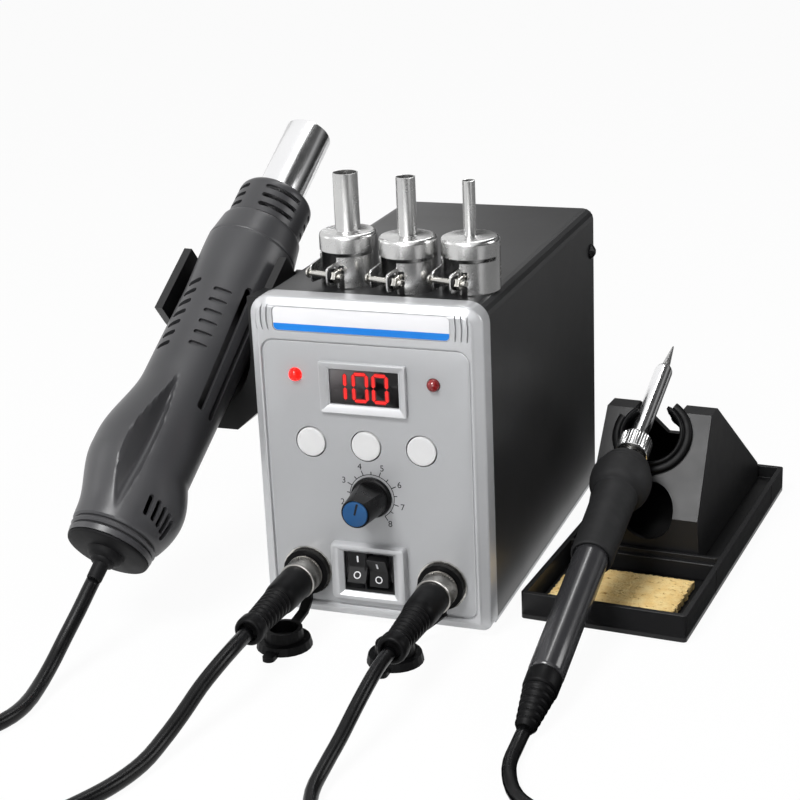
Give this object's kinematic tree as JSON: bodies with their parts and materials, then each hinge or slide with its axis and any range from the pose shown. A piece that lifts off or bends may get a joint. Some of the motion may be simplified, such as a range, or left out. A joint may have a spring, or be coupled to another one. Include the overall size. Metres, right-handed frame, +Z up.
{
  "type": "bga rework station",
  "caption": "Bench rework station: control box, hot-air gun in a side cradle, soldering iron on a sponge stand, and spare nozzles.",
  "frame": {"origin": "middle of the footprint of the whole set without its free cords and plugs, on the bench", "axes": "+X towards the iron stand (the viewer's right), +Y from the control panel to the back, +Z up"},
  "size_m": [0.3027, 0.4427, 0.1894],
  "materials": {
    "air_knob": "black",
    "button_down": "off-white",
    "button_set": "off-white",
    "button_up": "off-white",
    "case_cover": "satin black powder coat",
    "chassis_pan": "satin black powder coat",
    "clamp_screw_large": "plated",
    "clamp_screw_medium": "plated",
    "clamp_screw_small": "plated",
    "control_board": "green circuit board",
    "coupling_ring_rework": "nickel plated, knurled",
    "coupling_ring_solder": "nickel plated, knurled",
    "cover_screw_left": "black",
    "cover_screw_right": "black",
    "display_window": "smoked, with lit red digits behind it",
    "dust_cap_rework": "black",
    "dust_cap_solder": "black",
    "front_panel": "silver paint on moulded plastic",
    "gun_cord_coil": "black",
    "gun_cord_lead": "black",
    "gun_cord_tail": "black",
    "gun_end_cap": "black",
    "gun_fan": "black",
    "gun_guard": "dark grey",
    "gun_heater": "ceramic",
    "gun_holder": "black",
    "gun_motor": "plated",
    "gun_shell_lower": "dark grey",
    "gun_shell_upper": "dark grey",
    "gun_tube": "polished steel",
    "iron_barrel": "polished steel",
    "iron_boot": "black",
    "iron_cord_coil": "black",
    "iron_cord_lead": "black",
    "iron_cord_tail": "black",
    "iron_grip": "soft black grip",
    "iron_handle": "black",
    "iron_nut": "knurled",
    "iron_tip": "plated",
    "knob_cap": "blue",
    "led_rework": "red lens, lit",
    "led_solder": "red lens, unlit",
    "mains_inlet": "black",
    "nozzle_large": "polished steel",
    "nozzle_medium": "polished steel",
    "nozzle_small": "polished steel",
    "plug_rework": "black boot over a metal core",
    "plug_solder": "black boot over a metal core",
    "potentiometer": "plated",
    "rocker_rework": "black",
    "rocker_solder": "black",
    "socket_rework": "nickel plated",
    "socket_solder": "nickel plated",
    "sponge": "cellulose sponge",
    "stand_base": "black",
    "stand_ring": "black",
    "stand_tower": "black",
    "switch_housing": "black",
    "transformer": "laminated core with taped winding"
  },
  "bodies": {
    "station": {"case_cover": "case_cover", "chassis_pan": "chassis_pan", "front_panel": "front_panel", "display_window": "display_window", "control_board": "control_board", "led_rework": "led_rework", "led_solder": "led_solder", "potentiometer": "potentiometer", "switch_housing": "switch_housing", "socket_rework": "socket_rework", "socket_solder": "socket_solder", "dust_cap_rework": "dust_cap_rework", "dust_cap_solder": "dust_cap_solder", "cover_screw_right": "cover_screw_right", "cover_screw_left": "cover_screw_left", "transformer": "transformer", "mains_inlet": "mains_inlet", "gun_holder": "gun_holder", "stand_base": "stand_base", "stand_tower": "stand_tower", "stand_ring": "stand_ring", "gun_cord_coil": "gun_cord_coil", "gun_cord_tail": "gun_cord_tail", "iron_cord_coil": "iron_cord_coil", "iron_cord_tail": "iron_cord_tail"},
    "hot_air_gun": {"gun_shell_upper": "gun_shell_upper", "gun_shell_lower": "gun_shell_lower", "gun_guard": "gun_guard", "gun_tube": "gun_tube", "gun_end_cap": "gun_end_cap", "gun_motor": "gun_motor", "gun_heater": "gun_heater"},
    "fan": {"gun_fan": "gun_fan"},
    "knob": {"air_knob": "air_knob", "knob_cap": "knob_cap"},
    "up_button": {"button_up": "button_up"},
    "down_button": {"button_down": "button_down"},
    "set_button": {"button_set": "button_set"},
    "rework_rocker": {"rocker_rework": "rocker_rework"},
    "solder_rocker": {"rocker_solder": "rocker_solder"},
    "rework_plug": {"plug_rework": "plug_rework", "gun_cord_lead": "gun_cord_lead"},
    "solder_plug": {"plug_solder": "plug_solder", "iron_cord_lead": "iron_cord_lead"},
    "rework_ring": {"coupling_ring_rework": "coupling_ring_rework"},
    "solder_ring": {"coupling_ring_solder": "coupling_ring_solder"},
    "large_nozzle": {"nozzle_large": "nozzle_large", "clamp_screw_large": "clamp_screw_large"},
    "medium_nozzle": {"nozzle_medium": "nozzle_medium", "clamp_screw_medium": "clamp_screw_medium"},
    "small_nozzle": {"nozzle_small": "nozzle_small", "clamp_screw_small": "clamp_screw_small"},
    "loose_sponge": {"sponge": "sponge"},
    "iron": {"iron_tip": "iron_tip", "iron_barrel": "iron_barrel", "iron_grip": "iron_grip", "iron_handle": "iron_handle", "iron_boot": "iron_boot"},
    "nut": {"iron_nut": "iron_nut"}
  },
  "joints": [
    {"name": "up_press", "type": "slide", "parent": "station", "child": "up_button", "axis": [0, 1, 0], "range_m": [0, 0.0008], "stiffness_N_per_m": 200},
    {"name": "down_press", "type": "slide", "parent": "station", "child": "down_button", "axis": [0, 1, 0], "range_m": [0, 0.0008], "stiffness_N_per_m": 200},
    {"name": "set_press", "type": "slide", "parent": "station", "child": "set_button", "axis": [0, 1, 0], "range_m": [0, 0.0008], "stiffness_N_per_m": 200},
    {"name": "knob_turn", "type": "hinge", "parent": "station", "child": "knob", "pos_m": [-0.0077, -0.0616, 0.0592], "axis": [0, 1, 0], "range_deg": [-162, 132]},
    {"name": "rework_switch", "type": "hinge", "parent": "station", "child": "rework_rocker", "pos_m": [-0.0181, -0.0581, 0.0266], "axis": [1, 0, 0], "range_deg": [0, 22]},
    {"name": "solder_switch", "type": "hinge", "parent": "station", "child": "solder_rocker", "pos_m": [-0.0055, -0.0581, 0.0266], "axis": [1, 0, 0], "range_deg": [-22, 0]},
    {"name": "rework_plug_pull", "type": "slide", "parent": "station", "child": "rework_plug", "axis": [0, -1, 0], "range_m": [0, 0.015]},
    {"name": "rework_ring_turn", "type": "hinge", "parent": "rework_plug", "child": "rework_ring", "pos_m": [-0.0382, -0.0616, 0.0232], "axis": [0, 1, 0], "continuous": true},
    {"name": "solder_plug_pull", "type": "slide", "parent": "station", "child": "solder_plug", "axis": [0, -1, 0], "range_m": [0, 0.015]},
    {"name": "solder_ring_turn", "type": "hinge", "parent": "solder_plug", "child": "solder_ring", "pos_m": [0.0218, -0.0616, 0.0232], "axis": [0, 1, 0], "continuous": true},
    {"name": "large_nozzle_lift", "type": "slide", "parent": "station", "child": "large_nozzle", "axis": [0, 0, 1], "range_m": [0, 0.05]},
    {"name": "medium_nozzle_lift", "type": "slide", "parent": "station", "child": "medium_nozzle", "axis": [0, 0, 1], "range_m": [0, 0.05]},
    {"name": "small_nozzle_lift", "type": "slide", "parent": "station", "child": "small_nozzle", "axis": [0, 0, 1], "range_m": [0, 0.05]},
    {"name": "sponge_lift", "type": "slide", "parent": "station", "child": "loose_sponge", "axis": [0, 0, 1], "range_m": [0, 0.012]},
    {"name": "gun_lift", "type": "slide", "parent": "station", "child": "hot_air_gun", "axis": [-0.0754, -0.6013, 0.7955], "range_m": [0, 0.04]},
    {"name": "fan_spin", "type": "hinge", "parent": "hot_air_gun", "child": "fan", "pos_m": [-0.1103, -0.1014, 0.0413], "axis": [0.099, 0.7893, 0.606], "continuous": true},
    {"name": "iron_lift", "type": "slide", "parent": "station", "child": "iron", "axis": [-0.005, -0.2935, 0.9559], "range_m": [0, 0.03]},
    {"name": "nut_turn", "type": "hinge", "parent": "iron", "child": "nut", "pos_m": [0.0784, -0.1178, 0.0096], "axis": [0.0162, 0.9558, 0.2936], "continuous": true}
  ]
}
